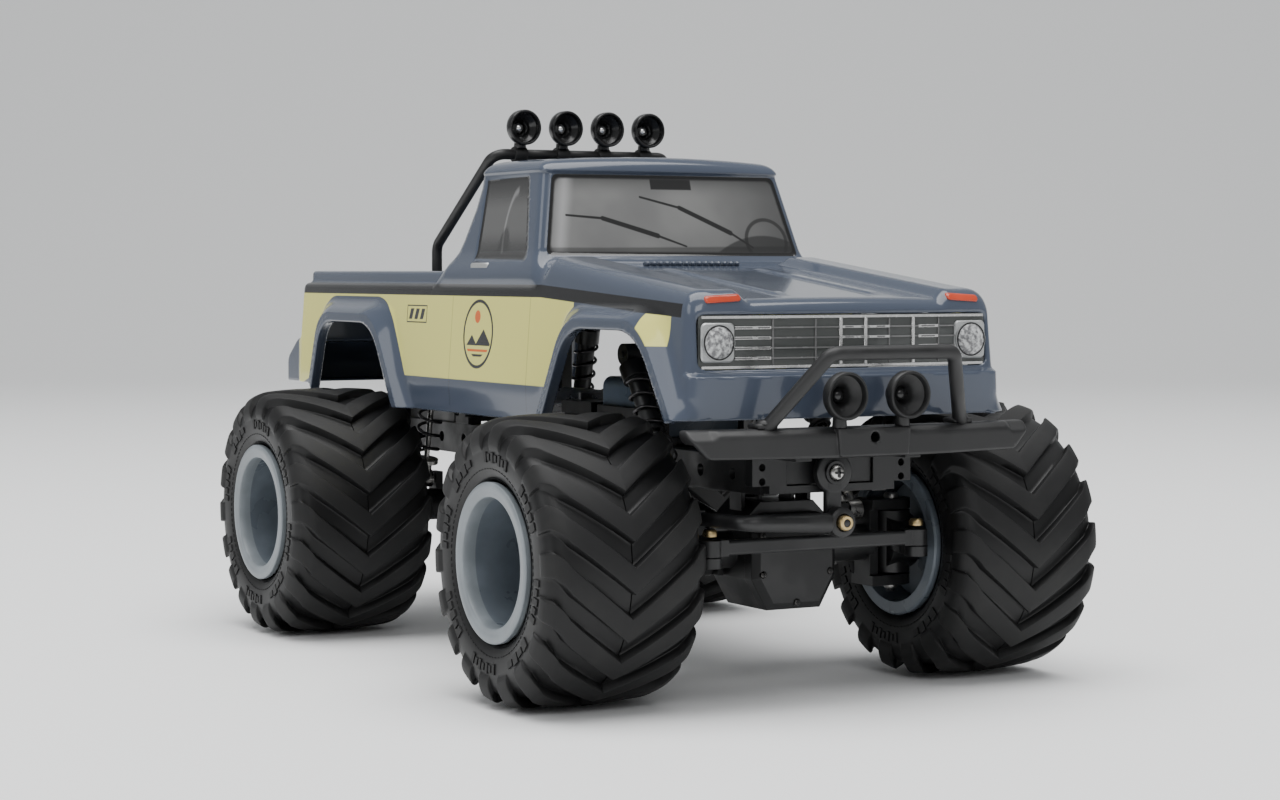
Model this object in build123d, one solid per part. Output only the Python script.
"""Remote control monster truck, about 1/24 scale, as an assembly of separate named pieces.

Frame: +Z up, the truck faces -Y, +X is the truck's left.  The origin is on the ground, under
the middle of the overall length.  Millimetres.
"""
from build123d import *
import math
import os

# ---------------------------------------------------------------- driving dimensions
WHEELBASE = 140.0
FRONT_Y = -74.0                      # front axle
REAR_Y = FRONT_Y + WHEELBASE         # rear axle
TRACK = 104.0                        # between tyre centre planes
LENGTH = 250.0                       # bull bar to rear bumper

TYRE_R = 32.0
TYRE_W = 38.0
RIM_R = 17.5                         # outer edge of the rim's flange
DISH_R = 14.1                        # clear radius inside the rim
AXLE_Z = TYRE_R

KINGPIN_X = 33.0
CASE_HALF = 11.0                     # half width of the differential's case
ARM_X, ARM_Y = 27.0, FRONT_Y - 19.0  # tie rod's stud on the knuckle's arm
DRAG_X, DRAG_Y = -29.0, FRONT_Y - 12.0
DRAG_Z = 41.0
HORN_X, HORN_Z, HORN_LENGTH = -1.5, 51.0, 10.7

RAIL_X, RAIL_W = 14.0, 4.0
RAIL_Z0, RAIL_Z1 = 46.0, 54.0
RAIL_Y = 100.0
SKID_Z0, SKID_Z1 = 30.0, 33.0

SHOCK_X = 22.5
FRONT_SHOCK_LOW = (FRONT_Y + 0.5, 39.5)
FRONT_SHOCK_TOP = (-48.2, 75.5)
REAR_SHOCK_LOW = (REAR_Y + 1.0, 39.0)
REAR_SHOCK_TOP = (57.1, 81.9)

LOWER_LINK_X, UPPER_LINK_X = 14.5, 6.5
LINK_PIN_R, LINK_BORE_R = 0.8, 1.4

GEAR_MODULE, SPUR_TEETH, PINION_TEETH = 0.5, 40, 12
SPUR_Z = 44.0
PINION_Z = SPUR_Z + GEAR_MODULE * (SPUR_TEETH + PINION_TEETH) / 2

BODY_X = 39.5                        # half width of the doors
FLARE_X = 43.0                       # half width over the wheel flares
SKIN = 1.2                           # wall of the moulded body
NOSE_Y, TAIL_Y = -107.0, 115.0
SILL_Z, BELT_Z, RAIL_TOP_Z = 59.0, 91.5, 94.6
ROOF_Z = 122.6
BED_FLOOR_Z = 86.0

BAR_X, BAR_R = 25.0, 1.35            # roll bar
LAMP_R, LAMP_PITCH, LAMP_Z, LAMP_Y = 4.45, 11.9, 130.8, 14.5
BULL_R = 1.55
FOG_X, FOG_R, FOG_Z, FOG_Y = 8.0, 5.15, 68.3, -118.5
BUMPER_Z0, BUMPER_Z1 = 55.0, 61.6
TOW_HOLE_R, TOW_HOLE_Z = 1.1, 59.4

PARTS = {}


# ---------------------------------------------------------------- helpers
def block(x0, x1, y0, y1, z0, z1):
    """An upright box between two corners."""
    return Pos((x0 + x1) / 2, (y0 + y1) / 2, (z0 + z1) / 2) * Box(abs(x1 - x0), abs(y1 - y0), abs(z1 - z0))


def rod(a, b, radius):
    """A round bar from point a to point b."""
    a, b = Vector(*a), Vector(*b)
    return Plane(origin=a, z_dir=b - a) * Cylinder(radius, (b - a).length, align=(Align.CENTER, Align.CENTER, Align.MIN))


def along_x(x0, x1, y, z, radius):
    return rod((x0, y, z), (x1, y, z), radius)


def along_y(y0, y1, x, z, radius):
    return rod((x, y0, z), (x, y1, z), radius)


def along_z(z0, z1, x, y, radius):
    return rod((x, y, z0), (x, y, z1), radius)


def side_prism(points, x0, x1):
    """A (y, z) outline carried across from x0 to x1."""
    face = make_face(Polyline(*[(x0, y, z) for y, z in points], close=True))
    return extrude(face, amount=abs(x1 - x0), dir=(1 if x1 > x0 else -1, 0, 0))


def mirrored(shape):
    return mirror(shape, about=Plane.YZ)


def both(shape):
    """The piece and its mirror image, as two solids."""
    return Compound(children=[*shape.solids(), *mirrored(shape).solids()])


def group(*shapes):
    return Compound(children=[s for shape in shapes for s in shape.solids()])


def bent_tube(points, radii, radius):
    path = FilletPolyline(*points, radius=radii)
    return sweep(Plane(origin=path @ 0, z_dir=path % 0) * Circle(radius), path=path)


def keep(name, shape):
    PARTS[name] = shape


def between(a, b, share):
    return tuple(p + (q - p) * share for p, q in zip(a, b))


# ---------------------------------------------------------------- wheels
def tyre(x_mid):
    """Hollow carcass turned about the axle: tread, sloping shoulders, sidewalls and beads."""
    half = TYRE_W / 2
    outer = [(half - 1.95, 16.5), (half - 1.95, 17.7), (half, 23.0), (half - 1.0, 28.0), (half - 5.0, 31.2),
             (half - 12.0, TYRE_R)]
    hollow = [(half - 4.2, 16.5), (half - 2.6, 23.0), (half - 3.6, 26.8), (half - 6.4, 28.9)]
    right = outer[::-1] + hollow
    ring = [(x_mid + x, 0, AXLE_Z + r) for x, r in right] + [(x_mid - x, 0, AXLE_Z + r) for x, r in right[::-1]]
    return revolve(make_face(Polyline(*ring, close=True)), axis=Axis((0, 0, AXLE_Z), (1, 0, 0)))


def rim(side):
    """Deep dished wheel: two flanges, a barrel, a web near the inner side and the hub's boss."""
    x_out, x_in, web = 70.7, 33.3, 41.0
    profile = [(x_out, DISH_R), (x_out, RIM_R), (x_out - 1.6, RIM_R), (x_out - 1.6, 16.4), (x_in + 1.6, 16.4),
               (x_in + 1.6, RIM_R), (x_in, RIM_R), (x_in, DISH_R), (web, DISH_R), (web, 4.6), (37.8, 4.6),
               (37.8, 2.05), (web + 2.6, 2.05), (web + 2.6, 5.2), (web + 1.6, 5.2), (web + 1.6, DISH_R)]
    face = make_face(Polyline(*[(x, 0, AXLE_Z + r) for x, r in profile], close=True))
    wheel = revolve(face, axis=Axis((0, 0, AXLE_Z), (1, 0, 0)))
    return wheel if side > 0 else mirrored(wheel)


def stub_axle(side):
    """Drive stub that runs in the hub, with the wheel nut on its end."""
    shaft = along_x(29.8, 47.0, 0, AXLE_Z, 1.95)
    nut = Pos(45.1, 0, AXLE_Z) * Rot(0, 90, 0) * extrude(RegularPolygon(3.4, 6), amount=1.5, both=True)
    nut -= along_x(43, 48, 0, AXLE_Z, 2.0)
    both_pieces = group(shaft, nut)
    return both_pieces if side > 0 else mirrored(both_pieces)


def wheels():
    for end, y in (("front", FRONT_Y), ("rear", REAR_Y)):
        for name, side in (("left", 1), ("right", -1)):
            at = Pos(0, y, 0)
            keep(f"{end}_{name}_tyre", at * tyre(side * TRACK / 2))
            keep(f"{end}_{name}_rim", at * rim(side))
            keep(f"{end}_{name}_stub_axle", at * stub_axle(side))


# ---------------------------------------------------------------- axles and steering
def case_outline(top):
    """Front view of the differential's case, (x, z), up to a height over the axle."""
    half, low = CASE_HALF, AXLE_Z - 13.0
    return [(-half, AXLE_Z + top - 4), (4 - half, AXLE_Z + top), (half - 4, AXLE_Z + top), (half, AXLE_Z + top - 4),
            (half, AXLE_Z - 6), (half - 4, low), (4 - half, low), (-half, AXLE_Z - 6)]


def axle_tube(y, reach):
    """Axle tubes and the differential's case."""
    body = along_x(-reach, reach, y, AXLE_Z, 4.2)
    face = make_face(Polyline(*[(x, y - 7, z) for x, z in case_outline(11.0)], close=True))
    return body + extrude(face, amount=14, dir=(0, 1, 0))


def link_brackets(y, toward):
    """Pins for the four links; toward is +1 where the links run to +Y."""
    low_y, low_z = y + 5.5 * toward, AXLE_Z - 4.0
    pins = None
    for x in (-LOWER_LINK_X, LOWER_LINK_X):
        for dx in (-2.4, 2.4):
            tab = block(x + dx - 0.6, x + dx + 0.6, y + 1.5 * toward, low_y + 1.8 * toward, low_z - 2.0, low_z + 2.6)
            pins = tab if pins is None else pins + tab
        pins += along_x(x - 2.4, x + 2.4, low_y, low_z, LINK_PIN_R)
    top_z = AXLE_Z + 14.0
    for x in (-UPPER_LINK_X, UPPER_LINK_X):
        for dx in (-2.2, 2.2):
            pins += block(x + dx - 0.5, x + dx + 0.5, y - 2.6, y + 2.6, AXLE_Z + 8.0, top_z + 1.6)
        pins += along_x(x - 2.2, x + 2.2, y, top_z, LINK_PIN_R)
    pins += block(-UPPER_LINK_X - 2.7, UPPER_LINK_X + 2.7, y - 2.6, y + 2.6, AXLE_Z + 6.0, AXLE_Z + 9.0)
    return pins


def shock_pins(low):
    """Brackets that stand on the axle tube, each with a pin for the shock's lower eye."""
    y, z = low
    arm = block(SHOCK_X - 4.3, SHOCK_X - 2.3, y - 2.4, y + 2.4, AXLE_Z, z + 1.8)
    pin = along_x(SHOCK_X - 2.4, SHOCK_X + 1.9, y, z, LINK_PIN_R)
    return arm + pin + mirrored(arm + pin)


def input_nose(y, toward):
    """The pinion's nose that meets the propeller shaft."""
    return along_y(y + 6 * toward, y + 14 * toward, 0, AXLE_Z + 2, 3.4)


def front_axle():
    housing = axle_tube(FRONT_Y, 26.0) + link_brackets(FRONT_Y, 1) + shock_pins(FRONT_SHOCK_LOW)
    housing += input_nose(FRONT_Y, 1)
    fork = block(25, 27.3, FRONT_Y - 3.2, FRONT_Y + 3.2, AXLE_Z - 10, AXLE_Z + 10)
    for z0 in (AXLE_Z - 10.0, AXLE_Z + 7.6):
        ear = block(25, KINGPIN_X, FRONT_Y - 4.4, FRONT_Y + 4.4, z0, z0 + 2.4)
        fork += ear + along_z(z0, z0 + 2.4, KINGPIN_X, FRONT_Y, 4.4)
    housing += fork + mirrored(fork)
    keep("front_axle_housing", housing)


def rear_axle():
    housing = axle_tube(REAR_Y, 30.0) + link_brackets(REAR_Y, -1) + shock_pins(REAR_SHOCK_LOW)
    housing += input_nose(REAR_Y, -1)
    hub = along_x(28.5, 37.3, REAR_Y, AXLE_Z, 7.0) - along_x(29.3, 38, REAR_Y, AXLE_Z, 2.05)
    housing += hub + mirrored(hub)
    housing -= along_x(29.3, 38, REAR_Y, AXLE_Z, 2.05)
    housing -= along_x(-38, -29.3, REAR_Y, AXLE_Z, 2.05)
    keep("rear_axle_housing", housing)


def diff_cover(y, away):
    """Bolted cover over the differential, on the side away from the propeller shaft."""
    y0 = y + 7.0 * away
    face = make_face(Polyline(*[(x, y0, z) for x, z in case_outline(8.5)], close=True))
    cover = extrude(face, amount=4.5, dir=(0, away, 0))
    far = cover.faces().sort_by(Axis.Y)[-1 if away > 0 else 0]
    return chamfer(far.edges(), 1.6)


def knuckle(side):
    """Steering knuckle between the fork's ears, with its hub and forward steering arm."""
    body = along_z(AXLE_Z - 7.2, AXLE_Z + 7.2, KINGPIN_X, FRONT_Y, 4.4)
    body += along_x(KINGPIN_X - 3.2, 37.3, FRONT_Y, AXLE_Z, 6.4)
    start, end = (KINGPIN_X, FRONT_Y - 2), (ARM_X, ARM_Y)
    arm_z0, arm_z1 = AXLE_Z - 1.6, AXLE_Z + 0.7
    direction = Vector(end[0] - start[0], end[1] - start[1], 0)
    length = direction.length
    angle = math.degrees(math.atan2(direction.Y, direction.X))
    arm = Pos(start[0], start[1], (arm_z0 + arm_z1) / 2) * Rot(0, 0, angle) * Pos(length / 2, 0, 0) * Box(length, 4.4, arm_z1 - arm_z0)
    body += arm + along_z(arm_z0, arm_z1, ARM_X, ARM_Y, 2.6)
    body -= along_x(28, 38, FRONT_Y, AXLE_Z, 2.05)
    if side < 0:                                     # the right knuckle also carries the drag link
        post_x = -DRAG_X
        body += along_z(arm_z0, DRAG_Z - 3.4, post_x, DRAG_Y, 1.5)
        body += Pos(post_x, DRAG_Y, DRAG_Z - 3.4) * Sphere(1.8)
    return body if side > 0 else mirrored(body)


def steering():
    keep("left_knuckle", knuckle(1))
    keep("right_knuckle", knuckle(-1))
    z = AXLE_Z + 2.7
    bar = block(-ARM_X + 3, ARM_X - 3, ARM_Y - 1.5, ARM_Y + 1.5, z - 1.6, z + 1.6)
    bar += along_z(z - 1.8, z + 1.8, ARM_X, ARM_Y, 2.5) + along_z(z - 1.8, z + 1.8, -ARM_X, ARM_Y, 2.5)
    bar += block(ARM_X - 4, ARM_X, ARM_Y - 1.5, ARM_Y + 1.5, z - 1.8, z + 1.8)
    bar += block(-ARM_X, -ARM_X + 4, ARM_Y - 1.5, ARM_Y + 1.5, z - 1.8, z + 1.8)
    keep("tie_rod", fillet(bar.edges().filter_by(Axis.X).filter_by(lambda e: e.length > 40), 0.6))
    studs = along_z(z + 1.8, z + 3.0, ARM_X, ARM_Y, 1.6)
    keep("tie_rod_screws", both(studs))

    horn = along_y(-103.2, -101.2, HORN_X, HORN_Z, 4.4)
    horn += block(HORN_X - 1.9, HORN_X + 1.9, -103.2, -101.2, HORN_Z - HORN_LENGTH, HORN_Z)
    horn += along_y(-103.2, -101.2, HORN_X, HORN_Z - HORN_LENGTH, 2.3)
    keep("servo_horn", horn)

    near = (HORN_X, -105.2, HORN_Z - HORN_LENGTH)
    far = (DRAG_X, DRAG_Y, DRAG_Z)
    stud = along_y(-107.4, -103.3, near[0], near[2], 1.4) + along_y(-108.2, -107.0, near[0], near[2], 2.2)
    keep("drag_link_stud", stud)
    eye = along_y(-106.8, -103.6, near[0], near[2], 3.2)
    tip = along_z(DRAG_Z - 1.2, DRAG_Z + 1.4, DRAG_X, DRAG_Y, 2.9)
    bend = (DRAG_X + 4.0, near[1], DRAG_Z)
    link = eye + tip + rod(near, bend, 1.5) + Pos(*bend) * Sphere(1.5) + rod(bend, far, 1.5)
    link -= along_y(-108, -103, near[0], near[2], 1.45)
    link -= block(-40, -20, DRAG_Y - 6, DRAG_Y + 6, DRAG_Z - 4, DRAG_Z - 1.2)
    keep("drag_link", link)


# ---------------------------------------------------------------- links, shafts and shocks
def link_pair(x_axle, x_frame, axle_end, frame_end):
    """Left and right link: an eye at each end; the axle end has room round its pin."""
    solids = []
    for side in (1, -1):
        a = (side * x_axle, *axle_end)
        f = (side * x_frame, *frame_end)
        length = math.dist(a, f)
        link = rod(between(a, f, 1.8 / length), between(f, a, 1.8 / length), 1.5)
        link += along_x(a[0] - 1.4, a[0] + 1.4, a[1], a[2], 2.4) + along_x(f[0] - 1.4, f[0] + 1.4, f[1], f[2], 2.4)
        link -= along_x(a[0] - 3, a[0] + 3, a[1], a[2], LINK_BORE_R)
        link -= along_x(f[0] - 3, f[0] + 3, f[1], f[2], LINK_PIN_R + 0.08)
        solids.append(link)
    return group(*solids)


LINKS = {  # name: x at the axle, x at the frame, (y, z) at the axle, (y, z) at the frame
    "front_lower_links": (LOWER_LINK_X, LOWER_LINK_X - 4.5, (FRONT_Y + 5.5, AXLE_Z - 4), (-24.0, 30.5)),
    "front_upper_links": (UPPER_LINK_X, UPPER_LINK_X + 2, (FRONT_Y, AXLE_Z + 14), (-30.0, 45.5)),
    "rear_lower_links": (LOWER_LINK_X, LOWER_LINK_X - 4.5, (REAR_Y - 5.5, AXLE_Z - 4), (20.0, 30.5)),
    "rear_upper_links": (UPPER_LINK_X, UPPER_LINK_X + 2, (REAR_Y, AXLE_Z + 14), (30.0, 45.5)),
}


def propshaft(end, y_box, y_axle):
    """Shaft between the gearbox and an axle; a ball boot at the gearbox lets it swing."""
    toward = 1 if y_axle > y_box else -1
    a, b = (0, y_box, SPUR_Z), (0, y_axle - 1.4 * toward, AXLE_Z + 2)
    length = math.dist(a, b)
    shaft = rod(between(a, b, 3.0 / length), b, 1.5)
    shaft += rod(between(a, b, 2.9 / length), between(a, b, 6.5 / length), 2.5)
    shaft += rod(between(b, a, 5 / length), b, 2.7) + rod(between(a, b, 0.45), between(a, b, 0.82), 2.1)
    keep(f"{end}_propshaft", shaft)
    keep(f"{end}_shaft_boot", Pos(*a) * Sphere(2.6))


def spring(low, top, start, end, radius, turns):
    """Coil spring round the line from low to top, between two shares of it."""
    a, b = (SHOCK_X, *between(low, top, start)), (SHOCK_X, *between(low, top, end))
    length = math.dist(a, b)
    wire = 0.42
    helix = Helix(pitch=(length - 2 * wire) / turns, height=length - 2 * wire, radius=radius)
    coil = sweep(Plane(origin=helix @ 0, z_dir=helix % 0) * Circle(wire), path=helix)
    place = Plane(origin=Vector(*a), z_dir=Vector(*b) - Vector(*a), x_dir=(1, 0, 0))
    return place * (Pos(0, 0, wire) * coil)


def shocks(end, low, top):
    """A pair of coil-over shocks: body with cap and collar, shaft with lower eye, spring."""
    def at(share):
        return (SHOCK_X, *between(low, top, share))

    body = rod(at(0.52), at(0.93), 2.4) + rod(at(0.84), at(0.93), 3.3)
    body += along_x(SHOCK_X - 1.7, SHOCK_X + 1.7, *at(1.0)[1:], 2.5)
    body += rod(at(0.92), at(0.99), 1.6)
    body -= rod(at(0.50), at(0.90), 1.5) + along_x(SHOCK_X - 3, SHOCK_X + 3, *at(1.0)[1:], LINK_PIN_R + 0.08)
    keep(f"{end}_shock_bodies", both(body))

    shaft = rod(at(0.05), at(0.66), 0.75) + rod(at(0.63), at(0.66), 1.1)
    shaft += rod(at(0.045), at(0.10), 1.6) + rod(at(0.10), at(0.125), 3.2)
    shaft += along_x(SHOCK_X - 1.7, SHOCK_X + 1.7, *at(0.0)[1:], 2.4)
    shaft -= along_x(SHOCK_X - 3, SHOCK_X + 3, *at(0.0)[1:], LINK_BORE_R + 0.1)
    keep(f"{end}_shock_shafts", both(shaft))
    keep(f"{end}_springs", both(spring(low, top, 0.13, 0.835, 2.95, 8)))


# ---------------------------------------------------------------- chassis
def frame_rail():
    """C section rail with lightening holes and hangers for the upper links."""
    rail = block(RAIL_X - RAIL_W / 2, RAIL_X + RAIL_W / 2, -RAIL_Y + 4, RAIL_Y - 4, RAIL_Z0, RAIL_Z1)
    rail -= block(RAIL_X - 3, RAIL_X + 0.6, -RAIL_Y, RAIL_Y, RAIL_Z0 + 1.4, RAIL_Z1 - 1.4)
    for k in range(13):
        rail -= along_x(RAIL_X - 3, RAIL_X + 3, -84 + 14 * k, (RAIL_Z0 + RAIL_Z1) / 2, 1.4)
    return rail


def link_hanger(x, y, z, top):
    """A yoke that hangs from above and holds one link's eye on its pin."""
    hanger = block(x - 2.9, x - 1.8, y - 2.2, y + 2.2, z - 2.0, top) + block(x + 1.8, x + 2.9, y - 2.2, y + 2.2, z - 2.0, top)
    return hanger + along_x(x - 2.0, x + 2.0, y, z, LINK_PIN_R)


def skid_plate():
    """Belly plate that ties the frame together and carries the lower links."""
    plate = block(-12, 12, -19, 15, SKID_Z0, SKID_Z1)
    for y in (-24.0, 20.0):
        toward = -1 if y < 0 else 1
        for side in (-1, 1):
            x = side * (LOWER_LINK_X - 4.5)
            for dx in (-2.4, 2.4):
                plate += block(x + dx - 0.6, x + dx + 0.6, y - 7.5 * toward, y + 2.2 * toward, 28.3, SKID_Z1)
            plate += along_x(x - 2.4, x + 2.4, y, 30.5, LINK_PIN_R)
    for side in (-1, 1):
        plate += block(side * 11.9, side * 13.4, -12, 10, SKID_Z0, RAIL_Z0)
        plate += block(side * 11.9, side * 15.9, -12, 10, RAIL_Z0 - 1.6, RAIL_Z0)
    return plate


def upper_link_plate(y):
    """Cross plate between the rails from which the upper links hang."""
    plate = block(-12, 12, y - 2.2, y + 2.2, 49, 52)
    for side in (-1, 1):
        plate += link_hanger(side * (UPPER_LINK_X + 2), y, 45.5, 49.2)
    return plate


def gearbox_case():
    case = block(-11.8, 11.8, -9, 7, SKID_Z1, 62.4)
    case -= block(-10.9, 10.9, -7.4, 5.4, SKID_Z1 + 0.3, 61.4)
    case -= along_y(-12, 9, 0, SPUR_Z, 1.6) + along_y(0, 9, 0, PINION_Z, 1.3)
    return case


def gear(teeth, phase):
    """Spur gear outline with straight-line involute flanks and a little backlash."""
    pitch_r = GEAR_MODULE * teeth / 2
    base_r = pitch_r * math.cos(math.radians(20))
    tip_r, root_r = pitch_r + 0.9 * GEAR_MODULE, pitch_r - 1.2 * GEAR_MODULE
    half = math.pi / (2 * teeth) - 0.05 * GEAR_MODULE / pitch_r

    def involute(r):
        roll = math.acos(min(1.0, base_r / r))
        return math.tan(roll) - roll

    points = []
    start_r = max(base_r, root_r + 0.02)
    flank = [root_r] + [start_r + (tip_r - start_r) * step / 4 for step in range(5)]
    for k in range(teeth):
        middle = phase + 2 * math.pi * k / teeth
        for sign, radii in ((-1, flank), (1, flank[::-1])):
            for r in radii:
                a = middle + sign * (half + involute(pitch_r) - involute(max(r, base_r)))
                points.append((r * math.sin(a), r * math.cos(a)))
    return points


def gear_solid(teeth, z, phase, y0, y1):
    outline = [(x, y0, z + up) for x, up in gear(teeth, phase)]
    return extrude(make_face(Polyline(*outline, close=True)), amount=y1 - y0, dir=(0, 1, 0))


def gears():
    spur = gear_solid(SPUR_TEETH, SPUR_Z, 0.0, -3.5, 0.5)
    spur += along_y(-9.4, 7.4, 0, SPUR_Z, 1.5)
    keep("spur_gear", spur)
    pinion = gear_solid(PINION_TEETH, PINION_Z, math.pi + math.pi / PINION_TEETH, -4.5, 1.5)
    keep("pinion_gear", pinion + along_y(1.0, 7.6, 0, PINION_Z, 1.1))


def motor():
    can = along_y(7.9, 26.5, 0, PINION_Z, 7.6)
    can = can & block(-6.6, 6.6, 0, 40, 40, 70)
    can += along_y(26, 29, 0, PINION_Z, 3.2)
    return can + block(-6.3, 6.3, 7.0, 8.2, PINION_Z - 7, PINION_Z + 7) - along_y(6, 8.1, 0, PINION_Z, 1.6)


def shock_tower(top, post_z):
    """Hoop between the rails with a pin for each shock and a pad that the body rests on."""
    y, z = top
    tower = None
    for side in (-1, 1):
        foot = block(side * 12.2, side * 16, y - 4, y + 4, RAIL_Z1, RAIL_Z1 + 2)
        leg = block(side * 13, side * 16, y - 2, y + 2, RAIL_Z1, z + 2.6)
        pin = along_x(side * 15.5, side * (SHOCK_X + 2.2), y, z, LINK_PIN_R)
        boss = along_x(side * 15.5, side * 20.0, y, z, 2.3)
        piece = foot + leg + pin + boss
        tower = piece if tower is None else tower + piece
    tower += block(-16, 16, y - 2, y + 2, z, z + 2.6)
    return tower + block(-8, 8, y - 3, y + 3, z + 1, post_z)


def front_crossmember():
    """Front bulkhead: holds the servo behind a window and carries the bumper's arms."""
    plate = block(-20.5, 20.5, -100, -97, 46.5, 57)
    for side in (-1, 1):                             # room for the drag link at full lock
        plate -= block(side * 16.2, side * 22, -101, -96, 46, 48.3)
    plate -= block(-11.8, 10.6, -101, -96, 48.2, 56.0)
    for x in (-18, 18):
        for z in (49.3, 52.4):
            plate -= along_y(-101, -96, x, z, 0.8)
        plate += block(x * 12.2 / 18, x * 15.9 / 18, -97.2, -96, RAIL_Z0, RAIL_Z1)
    for side in (-1, 1):
        plate += block(side * 12, side * 16, -110.4, -99.5, 54.2, 57)
    return plate


def servo():
    case = block(-11.6, 10.4, -99.3, -84, 48.4, 55.8)
    return case + along_y(-101.2, -99.2, HORN_X, HORN_Z, 2.4)


def rear_crossmember():
    plate = block(-20, 20, 96, 99, 46, 58)
    plate -= along_y(95, 100, -9, 52, 2.5) + along_y(95, 100, 9, 52, 2.5)
    return plate


def chassis():
    rail = frame_rail()
    keep("frame_rails", both(rail))
    keep("skid_plate", skid_plate())
    keep("upper_link_plates", group(upper_link_plate(-30.0), upper_link_plate(30.0)))
    keep("gearbox_case", gearbox_case())
    keep("motor", motor())
    keep("shock_towers", group(shock_tower(FRONT_SHOCK_TOP, 91.0), shock_tower(REAR_SHOCK_TOP, BED_FLOOR_Z - 0.2)))
    keep("front_crossmember", front_crossmember())
    keep("rear_crossmember", rear_crossmember())
    keep("steering_servo", servo())
    tray = block(-15.9, 15.9, -44, -11, RAIL_Z1, RAIL_Z1 + 1.4)
    for side in (-1, 1):
        tray += block(side * 11, side * 12.2, -42, -13, RAIL_Z1 + 1, RAIL_Z1 + 8)
    keep("battery_tray", tray)
    battery = block(-10.6, 10.6, -42, -13, RAIL_Z1 + 1.5, 69)
    keep("battery_pack", fillet(battery.edges().filter_by(Axis.Y), 2.5))
    radio = block(-15, 15, 64, 93, RAIL_Z1, 66)
    radio = chamfer(radio.faces().sort_by(Axis.Z)[-1].edges(), 1.2) - block(-4, 4, 74, 82, 64.6, 67)
    keep("radio_box", radio)
    keep("power_switch", block(-1.2, 1.2, 75.0, 77.4, 64.7, 67.2))


# ---------------------------------------------------------------- bumper and lamps
def bumper():
    """Bowed channel with swept, upturned ends and a thicker centre block with the tow hole."""
    half_top, half_low = 44.7, 38.3
    y_mid, y_end, depth = -116.0, -113.2, 5.2
    plan = [(-half_top, y_end), (-20, y_mid), (20, y_mid), (half_top, y_end), (half_top, y_end + depth), (-half_top, y_end + depth)]
    bar = extrude(make_face(Polyline(*[(x, y, BUMPER_Z0) for x, y in plan], close=True)), amount=BUMPER_Z1 - BUMPER_Z0)
    inner = [(-half_top - 1, y_end + 1.6), (-20, y_mid + 1.6), (20, y_mid + 1.6), (half_top + 1, y_end + 1.6),
             (half_top + 1, y_end + depth + 1), (-half_top - 1, y_end + depth + 1)]
    hollow = extrude(make_face(Polyline(*[(x, y, BUMPER_Z0 - 1) for x, y in inner], close=True)), amount=BUMPER_Z1 - BUMPER_Z0 - 0.5)
    bar -= hollow
    for side in (-1, 1):
        wedge = [(side * half_top, BUMPER_Z1 - 2.0), (side * (half_top + 2), BUMPER_Z0 - 1), (side * half_low, BUMPER_Z0 - 1), (side * half_low, BUMPER_Z0)]
        bar -= extrude(make_face(Polyline(*[(x, -120, z) for x, z in wedge], close=True)), amount=15, dir=(0, 1, 0))
    bar += block(-9, 9, -116.8, -110.5, BUMPER_Z0 + 0.4, BUMPER_Z1)
    bar -= along_y(-118, -112.8, 0, TOW_HOLE_Z, TOW_HOLE_R)
    return bar


def bull_bar():
    z_top, y_top = 77.6, -LENGTH / 2 + BULL_R
    foot = (25.0, -112.4, BUMPER_Z1 + 0.05)
    knee = (15.5, y_top, z_top)
    path = [foot, knee, (-knee[0], knee[1], knee[2]), (-foot[0], foot[1], foot[2])]
    tube = bent_tube(path, [3.2, 3.2], BULL_R)
    for side in (-1, 1):
        tube += block(side * 22.6, side * 27.4, -113.9, -109.2, BUMPER_Z1, BUMPER_Z1 + 1.3)
    return tube - block(-40, 40, -130, -100, 50, BUMPER_Z1)


def lamp_bucket(x, y, z, radius, depth, foot_z):
    """Round lamp housing, open to the front, with its bulb and reflector left as a stepped bore."""
    shell = along_y(y, y + 2.2, x, z, radius)
    cone = Plane(origin=(x, y + 2.2, z), z_dir=(0, 1, 0)) * Cone(radius, radius * 0.42, depth - 2.2, align=(Align.CENTER, Align.CENTER, Align.MIN))
    lamp = shell + cone
    lamp -= along_y(y - 1, y + 1.8, x, z, radius - 0.7)
    lamp -= along_y(y, y + depth - 2.4, x, z, radius * 0.42)
    return lamp + along_z(foot_z, z - radius * 0.6, x, y + depth * 0.5, 1.2)


def lamps():
    fog = lamp_bucket(FOG_X, FOG_Y, FOG_Z, FOG_R, 7.0, BUMPER_Z1)
    keep("fog_lamps", both(fog))
    near = lamp_bucket(LAMP_PITCH / 2, LAMP_Y, LAMP_Z, LAMP_R, 7.0, 125.8)
    far = lamp_bucket(LAMP_PITCH * 1.5, LAMP_Y, LAMP_Z, LAMP_R, 7.0, 125.8)
    keep("roof_lamps", group(both(near), both(far)))


def roll_bar():
    """Bent hoop that leans on the cab's back, with the cross tube that carries the lamps."""
    y_top, z_top = 18.5, 124.1
    path = [(BAR_X, 53.0, RAIL_TOP_Z), (BAR_X, 53.0, 101.3), (BAR_X, y_top, z_top), (-BAR_X, y_top, z_top), (-BAR_X, 53.0, 101.3), (-BAR_X, 53.0, RAIL_TOP_Z)]
    hoop = bent_tube(path, [3.0, 3.2, 3.2, 3.0], BAR_R)
    for side in (-1, 1):
        hoop += along_z(BED_FLOOR_Z + SKIN, BED_FLOOR_Z + SKIN + 1.2, side * BAR_X, 53.0, 2.6)
        hoop += along_z(BED_FLOOR_Z + SKIN, RAIL_TOP_Z + 0.5, side * BAR_X, 53.0, BAR_R)
    for k in (-1.5, -0.5, 0.5, 1.5):
        hoop += block(k * LAMP_PITCH - 1.6, k * LAMP_PITCH + 1.6, y_top - 1.6, y_top + 1.6, z_top, 125.75)
    return hoop


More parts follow.
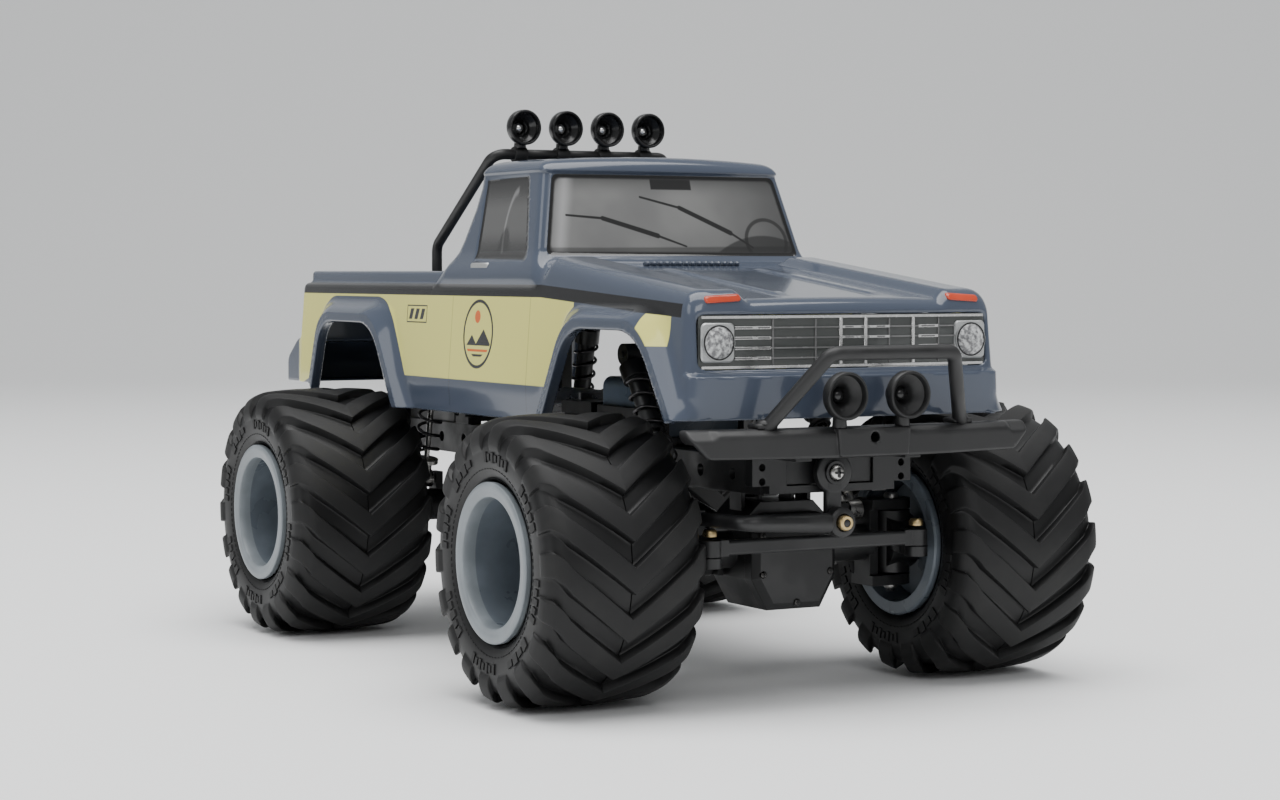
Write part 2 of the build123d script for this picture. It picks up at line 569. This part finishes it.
# ---------------------------------------------------------------- body shell
def lower_hull(inset):
    """Bonnet, wings, doors and bed sides as one side-view outline, drawn in by the inset."""
    i = inset
    low = SILL_Z - 3 * i
    outline = [(NOSE_Y + i, 63.5 - 3 * i if i else 63.5), (NOSE_Y + i, 86.0 - i), (NOSE_Y + 3, 88.6 - i), (-32, 97.2 - i), (20, 96.6 - i),
               (24, BELT_Z - i), (TAIL_Y - i, BELT_Z - i), (TAIL_Y - i, 63.5 if not i else low), (99, 63.5 if not i else low),
               (46, low), (-42, low), (-100, 63.5 if not i else low)]
    return side_prism(outline, -(BODY_X - i), BODY_X - i)


def shoulder_cut(side, inset=0.0):
    """Takes the sharp corner off between a wing's top and its side."""
    x, drop = BODY_X - 1.1 * inset, 1.1 * inset
    profile = [(side * (x - 5.5), 99 - drop), (side * (x - 3.2), 95.5 - drop), (side * (x + 0.1), 91.0 - drop),
               (side * (x + 5), 91.0 - drop), (side * (x + 5), 99)]
    face = make_face(Polyline(*[(x, NOSE_Y - 1, z) for x, z in profile], close=True))
    return extrude(face, amount=TAIL_Y - NOSE_Y + 2, dir=(0, 1, 0))


def cab(inset):
    """Tapered cab from the waist to the roof, with a leaning screen and a sloping back."""
    i = inset
    base = Plane.XY.offset(95.0 - i) * make_face(Polyline((-36.5 + i, -31.5 + i), (36.5 - i, -31.5 + i), (36.5 - i, 20 - i), (-36.5 + i, 20 - i), close=True))
    roof = Plane.XY.offset(ROOF_Z - i) * make_face(Polyline((-31.5 + i, -24 + i), (31.5 - i, -24 + i), (31.5 - i, 9.5 - i), (-31.5 + i, 9.5 - i), close=True))
    return loft([base.face(), roof.face()])


ARCHES = {  # (y, z) outline of each wheel opening
    "front": [(-43.5, 50), (-43.5, 62), (-55, 82), (-88, 82), (-101.5, 63), (-101.5, 50)],
    "rear": [(43.5, 50), (43.5, 60), (57, 81), (91, 81), (99.5, 63), (99.5, 50)],
}


def flare(points, side):
    """Raised lip round a wheel opening."""
    mid = sum(p[0] for p in points) / len(points)
    outer = [(mid + (y - mid) * 1.19, z + 4.6 if z > 70 else z) for y, z in points[1:-1]]
    outer = [(y, max(z, 62.0 if z < 70 else z)) for y, z in outer]
    return side_prism(outer, side * (BODY_X - 1), side * FLARE_X)


def wheel_tunnel(points):
    return side_prism(points, -60, 60)


def body_shell():
    hull = lower_hull(0.0)
    for side in (-1, 1):
        hull -= shoulder_cut(side)
        for points in ARCHES.values():
            hull += flare(points, side)
    shell = hull + cab(0.0)
    shell += side_prism([(TAIL_Y - 1, 63.5), (LENGTH / 2, 63.5), (LENGTH / 2, 70), (TAIL_Y + 1, 75), (TAIL_Y - 1, 75)], -38, 38)
    shell += side_prism([(22, BELT_Z - 1), (TAIL_Y - 4, BELT_Z - 1), (TAIL_Y - 4, RAIL_TOP_Z), (22, RAIL_TOP_Z)], -37.4, 37.4)
    inner = lower_hull(SKIN)
    for side in (-1, 1):
        inner -= shoulder_cut(side, SKIN)
    inner += cab(SKIN)
    inner -= block(-50, 50, 23.5, 130, BED_FLOOR_Z, 100)
    shell -= inner
    shell -= side_prism([(TAIL_Y - 2, 60), (LENGTH / 2 - SKIN, 60), (LENGTH / 2 - SKIN, 69.4), (TAIL_Y, 73.6), (TAIL_Y - 2, 73.6)], -38 + SKIN, 38 - SKIN)
    shell -= block(-35.4, 35.4, 25.0 + SKIN, TAIL_Y - 4 - SKIN, BED_FLOOR_Z + SKIN, 100)
    for points in ARCHES.values():
        shell -= wheel_tunnel(points)
    shell -= block(-36, 36, NOSE_Y - 1, NOSE_Y + SKIN + 0.2, 74.5, 84.8)
    for side in (-1, 1):
        for points in ARCHES.values():
            inner_lip = [(y, z - 0.01) for y, z in points[1:-1]]
            shell -= side_prism(inner_lip, side * (BODY_X - 3), side * (FLARE_X + 1))
    return shell


def grille():
    """Clear panel with the lamp bezels and bars, set into the nose."""
    panel = block(-36, 36, NOSE_Y + 0.9, NOSE_Y + SKIN + 0.2, 74.5, 84.8)
    for side in (-1, 1):
        panel += block(side * 28.8, side * 35.6, NOSE_Y + 0.3, NOSE_Y + 1.2, 75.0, 84.2)
        panel += along_y(NOSE_Y - 0.8, NOSE_Y + 0.6, side * 32.6, 79.6, 3.3)
    for k in range(4):
        panel += block(-28.6, 28.6, NOSE_Y + 0.45, NOSE_Y + 1.0, 76.4 + 2.2 * k, 76.9 + 2.2 * k)
    for x in (-4.4, 0.0, 4.4):
        panel += block(x - 0.3, x + 0.3, NOSE_Y + 0.4, NOSE_Y + 1.0, 74.9, 84.4)
    return panel


def body():
    keep("body_shell", body_shell())
    keep("grille_panel", grille())
    lens = block(27.0, 35.0, -103.6, -100.6, 89.0, 90.6)
    keep("turn_signal_lenses", both(lens))
    keep("roll_bar", roll_bar())


# ---------------------------------------------------------------- build
def build():
    wheels()
    front_axle()
    rear_axle()
    keep("front_diff_cover", diff_cover(FRONT_Y, -1))
    keep("rear_diff_cover", diff_cover(REAR_Y, 1))
    steering()
    for name, spec in LINKS.items():
        keep(name, link_pair(*spec))
    propshaft("front", -12.2, FRONT_Y + 14.0)
    propshaft("rear", 10.2, REAR_Y - 14.0)
    shocks("front", FRONT_SHOCK_LOW, FRONT_SHOCK_TOP)
    shocks("rear", REAR_SHOCK_LOW, REAR_SHOCK_TOP)
    chassis()
    gears()
    keep("front_bumper", bumper())
    keep("bull_bar", bull_bar())
    lamps()
    body()
    os.makedirs("parts", exist_ok=True)
    for name, shape in PARTS.items():
        export_step(shape, f"parts/{name}.step")
    print(len(PARTS), "nodes")


build()
